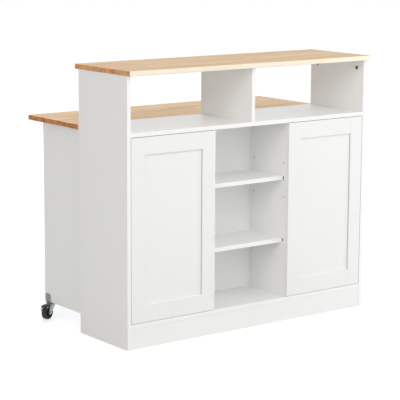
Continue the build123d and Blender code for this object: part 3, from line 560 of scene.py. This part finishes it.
# Leaf hinges: three screws in each plate.
along_plates = [x + off for x in (-420, 0, 420) for off in (-21, 0, 21)]
shelf_plate_screws = [((x, -24, MID_SHELF_UNDER), (0, 0, -1)) for x in along_plates]
leaf_plate_screws = [((x, 6, LEAF_UNDER), (0, 0, -1)) for x in along_plates]
# Castor bracket: four screws through each cheek of the channel.
bracket_screws = [((x, 237 + off, z), (way, 0, 0))
                  for x, way in ((-532, -1), (-513, 1)) for off in (-9, 9) for z in (71, 86)]

carcass_left = side_plate_screws + plate_screws + arm_screws + latch_screws
screws("carcass_screws", "carcass", carcass_left + mirrored(carcass_left) + shelf_plate_screws, 3.3)
screws("leaf_screws", "leaf", leaf_plate_screws, 3.3)
for side, turn_over in (("left", list), ("right", mirrored)):
    screws(f"{side}_door_screws", f"{side}_door", turn_over(flange_screws), 3.3)
    screws(f"{side}_gate_screws", f"{side}_gate", turn_over(gate_plate_screws + bracket_screws), 2.6)


# Pins that hold the back panel


def panel_pins_tree():
    """Low domed pin heads at even steps along each path, flat to the back panel."""
    tree = bpy.data.node_groups.new("panel_pins", "GeometryNodeTree")
    for name, kind in (("Paths", "Geometry"), ("Spacing", "Float"), ("Head radius", "Float"),
                       ("Finish", "Material")):
        tree.interface.new_socket(name, in_out="INPUT", socket_type=f"NodeSocket{kind}")
    tree.interface.new_socket("Pins", in_out="OUTPUT", socket_type="NodeSocketGeometry")
    given = add(tree, "NodeGroupInput").outputs
    curves = add(tree, "GeometryNodeMeshToCurve", {"Mesh": given["Paths"]})
    steps = add(tree, "GeometryNodeResampleCurve",
                {"Curve": curves.outputs["Curve"], "Length": given["Spacing"]}, mode="LENGTH")
    ball = add(tree, "GeometryNodeMeshUVSphere", {"Segments": 14, "Rings": 8, "Radius": given["Head radius"]})
    low = add(tree, "GeometryNodeTransform", {"Geometry": ball.outputs["Mesh"], "Scale": (1, 0.35, 1)})
    each = add(tree, "GeometryNodeInstanceOnPoints",
               {"Points": steps.outputs["Curve"], "Instance": low.outputs["Geometry"]})
    real = add(tree, "GeometryNodeRealizeInstances", {"Geometry": each})
    smooth = add(tree, "GeometryNodeSetShadeSmooth", {"Geometry": real})
    finished = add(tree, "GeometryNodeSetMaterial", {"Geometry": smooth, "Material": given["Finish"]})
    add(tree, "NodeGroupOutput", {"Pins": finished})
    return tree


def back_panel_pins():
    """Pins into the bottom board, the niche's fixed shelf and its two walls."""
    lying = ((515, BOTTOM_BOARD_MIDDLE), (160, FIXED_SHELF_MIDDLE))
    paths = [((-reach, z), (reach, z)) for reach, z in lying]
    paths += [((x, 120), (x, 725)) for x in (-NICHE_WALL_MIDDLE, NICHE_WALL_MIDDLE)]
    ends = [Vector((x, BACK_PANEL_REAR, z)) * MM for path in paths for x, z in path]
    mesh = bpy.data.meshes.new("back_panel_pins")
    mesh.from_pydata(ends, [(i, i + 1) for i in range(0, len(ends), 2)], [])
    given = {"Spacing": 110 * MM, "Head radius": 2.2 * MM, "Finish": zinc_plate}
    grown("back_panel_pins", mesh, panel_pins_tree(), given, "carcass")


back_panel_pins()


# Castors, drawn in millimetres from the swivel axis: the wheel trails towards -X and the floor is at Z 0
SWIVEL_AXIS = (-522.5, 237, 0)
SWIVEL_TURN = 23.5  # degrees by which the left castor stands turned
AXLE = (-19, 25)
RIVET = (-35, 49)


def castor_place(side, axis):
    """Puts a part that is turned round the X axis onto the castor's cross axis at (x, z)."""
    flip = Matrix.Scale(-1, 4, (1, 0, 0)) if side == "right" else Matrix.Identity(4)
    swivel = Matrix.Translation(SWIVEL_AXIS) @ Matrix.Rotation(math.radians(SWIVEL_TURN), 4, "Z")
    across = Matrix.Translation((axis[0], 0, axis[1])) @ Matrix.Rotation(math.radians(90), 4, "Z")
    return Matrix.Scale(MM, 4) @ flip @ swivel @ across


def castor_upright(side, axis):
    """Puts a part that is extruded along Y onto the castor, with its (x, z) measured from the axis."""
    return castor_place(side, axis) @ Matrix.Rotation(math.radians(-90), 4, "Z")


def both_ways(profile):
    """A closed (along, out) profile that is the same on both sides of the middle."""
    return profile + [(-along, out) for along, out in reversed(profile)]


def castor_wheel(side):
    """Moulded core with a rounded hub and rim and six ribs on each side of its web, and a rounded tyre."""
    place = castor_place(side, AXLE)
    core = both_ways([(11.2, 3.06), (11.2, 5.8), (10.5, 6.5), (2.6, 7.4), (2.2, 8), (2.2, 14.6), (2.6, 15.2),
                      (8.3, 15.9), (9, 16.5), (9, 18.5)])
    parts = [turned_parts([core], 72, place)]
    for step in range(6):
        turn = place @ Matrix.Rotation(math.radians(60 * step + 15), 4, "X")
        for way in (-1, 1):
            rib = [(way * 2, 6.6), (way * 8.6, 6.6), (way * 6.8, 15.8), (way * 2, 15.8)]
            parts.append(extruded(rib, -0.8, 0.8, turn))
    ribbed = piece_of(parts, nylon, f"{side}_wheel_core_ribbed", f"{side}_wheel")
    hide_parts(f"{side}_castor_wheel_core")
    tread = both_ways([(10, 18.5), (10, 21.6), (9.7, 22.8), (9, 23.8), (8, 24.5), (6.6, 24.85), (3, 25)])
    parts = [turned_parts([tread], 96, place)]
    rounded = piece_of(parts, tyre_rubber, f"{side}_tyre_rounded", f"{side}_wheel")
    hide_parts(f"{side}_castor_tyre")


def arc(x, z, radius, start, end, steps):
    """Points (x, z) on part of a circle, from one angle to the other, in degrees."""
    angles = [math.radians(start + (end - start) * step / steps) for step in range(steps + 1)]
    return [(x + radius * math.cos(a), z + radius * math.sin(a)) for a in angles]


def castor_fork(side):
    """Pressed fork with curved legs, its crown and lower race, and the brake's rivet."""
    upright = castor_upright(side, (0, 0))
    leg = [(13, 54), (13, 49)] + arc(29, 17, 34, 117, 133.333, 2) + arc(*AXLE, 7, -20, -165, 9)
    leg += [(-25.9, 27), (-24.6, 33), (-21.2, 40), (-17, 46), (-15.2, 50), (-15, 54)]
    crown = [(12.6, 52.2), (13, 54), (-15, 54), (-15, 52.2)]
    parts = [extruded(leg, low, low + 1.8, upright) for low in (-13.4, 11.6)]
    parts.append(extruded(crown, -12.5, 12.5, upright))
    race = [(52.3, 4.06), (52.3, 14), (55, 14), (55.6, 13.2), (57.2, 9.5), (57.2, 4.06)]
    parts.append(turned_parts([race], 40, upright @ Matrix.Rotation(math.radians(-90), 4, "Y")))
    shank = [(-13.3, 0), (-13.3, 2), (13.3, 2), (13.3, 0)]
    head = [(13.3, 0), (13.3, 3.2), (13.8, 3.1), (14.3, 2.5), (14.6, 1.4), (14.7, 0)]
    far_head = [(-along, out) for along, out in head]
    parts.append(turned_parts([shank, head, far_head], 24, castor_place(side, RIVET)))
    curved = piece_of(parts, zinc_plate, f"{side}_fork_curved", f"{side}_fork")
    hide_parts(f"{side}_castor_fork")


def brake_housing(side):
    """Black arms that carry the rivet behind the fork, joined by a plate behind its crown."""
    upright = castor_upright(side, (0, 0))
    arm = [(-14, 53.8), (-14, 49)] + arc(-35, 49.2, 3.6, -75, -270, 8)
    parts = [extruded(arm, low, low + 1.6, upright) for low in (-13.3, 11.7)]
    parts.append(extruded([(-15, 52.2), (-15, 53.8), (-30, 53.8), (-30, 52.2)], -12, 12, upright))
    piece_of(parts, nylon, f"{side}_brake_housing", f"{side}_fork")


def brake_lever(side):
    """The pedal as a narrow toe plate on a hub round the rivet, with its pad along the tread, and a grey
    grip on its tip."""
    place = castor_upright(side, RIVET)
    pad = arc(16, -24, 26.6, 122, 160, 12) + arc(16, -24, 29.8, 160, 122, 12)
    toe = [(-2, 2.4), (-9, 0.4), (-19.4, -2.2), (-20, -3), (-19.4, -4.1), (-9, -2.6), (-3, -1.6)]
    hub = [(-11.4, 2.1), (-11.4, 3.9), (11.4, 3.9), (11.4, 2.1)]
    parts = [extruded(pad, -8, 8, place), extruded(toe, -3.4, 3.4, place)]
    parts.append(turned_parts([hub], 28, castor_place(side, RIVET)))
    lever = piece_of(parts, nylon, f"{side}_brake_lever", f"{side}_brake")
    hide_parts(f"{side}_brake_pedal")
    grip = [(-17.4, -4.4), (-19.8, -4.8), (-20.8, -3.9), (-20.7, -2.8), (-19.9, -1.6), (-17.4, -0.9)]
    piece_of([extruded(grip, -4, 4, place)], grey_abs, f"{side}_pedal_tip", f"{side}_brake")


for side in ("left", "right"):
    castor_wheel(side)
    castor_fork(side)
    brake_housing(side)
    brake_lever(side)


# Small parts on the doors and in the niche


def domes(places, radius, height):
    """Low domes that stand out towards -Y from each (x, y, z), or towards +Y if height is negative."""
    profile = [(0, 0), (0, radius), (-0.45 * height, 0.93 * radius), (-0.85 * height, 0.6 * radius),
               (-height, 0)]
    parts = []
    for spot in places:
        place = Matrix.Scale(MM, 4) @ Matrix.Translation(spot) @ Matrix.Rotation(math.radians(90), 4, "Z")
        parts.append(turned_parts([profile], 28, place))
    return parts


def on_niche_wall(sign, x, y, z, tall=1):
    """Puts a part that is turned round the X axis on the niche's wall on the side of sign."""
    return Matrix.Scale(MM, 4) @ Matrix.Translation((sign * x, y, z)) @ Matrix.Diagonal((sign, 1, tall, 1))


SIGN_OF = {"left": -1, "right": 1}

# Stick-on bumpers on the front edges of the niche's walls, two to a door, and a thin steel disc on each
# door that its plunger pushes.
bumpers = [(sign * NICHE_WALL_MIDDLE, NICHE_WALL_FRONT, z) for sign in (-1, 1) for z in (118, 712)]
piece_of(domes(bumpers, 4, 0.5), silicone, "door_bumpers", "carcass")
for side, sign in SIGN_OF.items():
    disc = domes([(sign * LATCH_X, DOOR_BACK, 735.5)], 6, -0.2)
    piece_of(disc, zinc_plate, f"{side}_strike_disc", f"{side}_door")

# Oval grey caps on the niche's walls in front of each niche shelf, at the height of its edge.
cap = [(0, 0), (0, 2.9), (0.3, 3.5), (0.7, 3.5), (0.7, 0)]
caps = [turned_parts([cap], 28, on_niche_wall(sign, NICHE_WALL - 0.6, -280.5, z, tall=1.6))
        for sign in (-1, 1) for z in (301, 535)]
piece_of(caps, grey_polyethylene_and_shade, "niche_wall_caps", "carcass")

# The empty pin holes in the niche's walls, lined with the bare board that their drill left.
spare_holes = [(-281, 462.5), (-281, 526.5), (-281, 590.5), (-110, 462.5), (-110, 590.5)]
lining = [(0.05, 2.05), (0.05, 2.46), (8.9, 2.46), (8.9, 0), (8.5, 0), (8.5, 2.05)]
linings = [turned_parts([lining], 20, on_niche_wall(sign, NICHE_WALL, y, z))
           for sign in (-1, 1) for y, z in spare_holes]
piece_of(linings, bare_chips, "drilled_hole_linings", "carcass")


def painted_shade_strips(side, sign):
    """Grey strips of painted shade beside the door's floating panel, in the gap on its hinge side and along
    its top
    edge: dark sheets that darken those gaps as their shade would.
    """
    face = (PANEL_FACE - 0.05, PANEL_FACE + 0.1)
    tall = (DOOR_BOTTOM + RAIL, DOOR_TOP - RAIL)
    near = DOOR_NEAR + STILE
    far = DOOR_FAR - STILE
    beside = [bar_on_end(x, face, tall, sign) for x in ((near, near + 1.5), (far - 1.5, far))]
    piece_of(beside, grey_polyethylene_and_shade, f"{side}_panel_shade_strips", f"{side}_door")
    gap = bar_on_end((DOOR_FAR + 0.6, SIDE_INSIDE - 0.05), (DOOR_FRONT + 0.6, -298),
                     (DOOR_BOTTOM + 1.5, DOOR_TOP - 1.5), sign)
    piece_of([gap], grey_polyethylene_and_shade, f"{side}_gap_shade_strip", "carcass")
    top = bar_on_end((DOOR_NEAR + 3, DOOR_FAR - 2), (DOOR_FRONT + 0.5, -300),
                     (DOOR_TOP - 0.05, DOOR_TOP + 0.35), sign)
    piece_of([top], grey_polyethylene_and_shade, f"{side}_top_shade_strip", f"{side}_door")


# Painted shade: grey strips in the doors' gaps and beside their panels.
for side, sign in SIGN_OF.items():
    painted_shade_strips(side, sign)


# Camera, at the photograph's viewing angle


def photo_camera():
    """Stands to the left in front of the cabinet, a little above it, with a long lens."""
    yaw, pitch, roll = math.radians(37.208), math.radians(10.3), math.radians(0.318)
    ahead = Vector((math.sin(yaw) * math.cos(pitch), math.cos(yaw) * math.cos(pitch), -math.sin(pitch)))
    level = Vector((math.cos(yaw), -math.sin(yaw), 0))
    upward = level.cross(ahead)
    right = math.cos(roll) * level + math.sin(roll) * upward
    top = math.cos(roll) * upward - math.sin(roll) * level
    turn = Matrix((right, top, -ahead)).transposed().to_4x4()
    data = bpy.data.cameras.new("photo_camera")
    data.lens = 139.9
    data.sensor_width = 36
    camera = bpy.data.objects.new("photo_camera", data)
    camera.matrix_world = Matrix.Translation((-3.4898, -4.5932, 1.4758)) @ turn
    bpy.context.collection.objects.link(camera)
    bpy.context.scene.camera = camera


# Studio


def seen_directly(tree):
    """1 for rays from the camera, and for those that metal and glass send on to the background."""
    path = add(tree, "ShaderNodeLightPath")
    mirror = add(tree, "ShaderNodeMath", {0: path.outputs["Is Camera Ray"], 1: path.outputs["Is Glossy Ray"]},
                 operation="MAXIMUM")
    return add(tree, "ShaderNodeMath", {0: mirror, 1: path.outputs["Is Transmission Ray"]},
               operation="MAXIMUM")


def studio_world(level):
    """Even white light of the given level, and plain white where it is seen directly."""
    world = bpy.data.worlds.new("studio")
    world.use_nodes = True
    tree = world.node_tree
    tree.nodes.clear()
    light = add(tree, "ShaderNodeBackground", {"Color": paint("#ffffff"), "Strength": level})
    white = add(tree, "ShaderNodeBackground", {"Color": paint("#ffffff"), "Strength": 1.0})
    both = add(tree, "ShaderNodeMixShader", {0: seen_directly(tree), 1: light, 2: white})
    add(tree, "ShaderNodeOutputWorld", {"Surface": both})
    bpy.context.scene.world = world


def studio_floor(near, far):
    """Matt white paper, lifted to white where it is seen directly: less round the object, by near, and more
    away from it, by far, so that the object keeps its soft shadow."""
    material, tree, place = blank("floor_paper")
    matt = add(tree, "ShaderNodeBsdfDiffuse", {"Color": paint("#d8d8d7")})
    distance = add(tree, "ShaderNodeVectorMath", {0: place.outputs["Object"]}, operation="LENGTH")
    lift = add(tree, "ShaderNodeMapRange", {"Value": distance.outputs["Value"], "From Min": 0.9,
                                            "From Max": 2.5, "To Min": near, "To Max": far})
    strength = add(tree, "ShaderNodeMath", {0: seen_directly(tree), 1: lift}, operation="MULTIPLY")
    glow = add(tree, "ShaderNodeEmission", {"Strength": strength})
    both = add(tree, "ShaderNodeAddShader", {0: matt, 1: glow})
    add(tree, "ShaderNodeOutputMaterial", {"Surface": both})
    mesh = bpy.data.meshes.new("floor")
    reach = 12
    corners = [(-reach, -reach, 0), (reach, -reach, 0), (reach, reach, 0), (-reach, reach, 0)]
    mesh.from_pydata(corners, [], [(0, 1, 2, 3)])
    mesh.materials.append(material)
    floor = bpy.data.objects.new("floor", mesh)
    bpy.context.collection.objects.link(floor)


def soft_box(name, towards, power, colour="#ffffff", distance=5, size=2.5):
    """Square lamp that shines at the middle of the object from the given direction."""
    data = bpy.data.lights.new(name, "AREA")
    data.shape = "SQUARE"
    data.size = size
    data.energy = power
    data.color = paint(colour)[:3]
    lamp = bpy.data.objects.new(name, data)
    aim = Vector(towards).normalized()
    lamp.location = Vector((0, 0, 0.5)) + aim * distance
    lamp.rotation_euler = aim.to_track_quat("Z", "Y").to_euler()
    lamp.visible_camera = False
    lamp.visible_glossy = False
    bpy.context.collection.objects.link(lamp)


photo_camera()
studio_world(0.45)
studio_floor(0.5, 0.71)
soft_box("key_box", (-0.32, -0.70, 0.64), 60)
soft_box("front_box", (0, -0.97, 0.2), 25)
soft_box("left_box", (-0.82, -0.46, 0.36), 37, "#fff7ee")
soft_box("right_box", (0.75, -0.6, 0.3), 20, distance=3, size=1.6)
soft_box("back_box", (0.4, 0.85, 0.42), 48, "#ebf3ff")
soft_box("top_box", (0.35, 0.5, 0.8), 56, "#e3efff")

scene = bpy.context.scene
scene.view_settings.view_transform = "Standard"
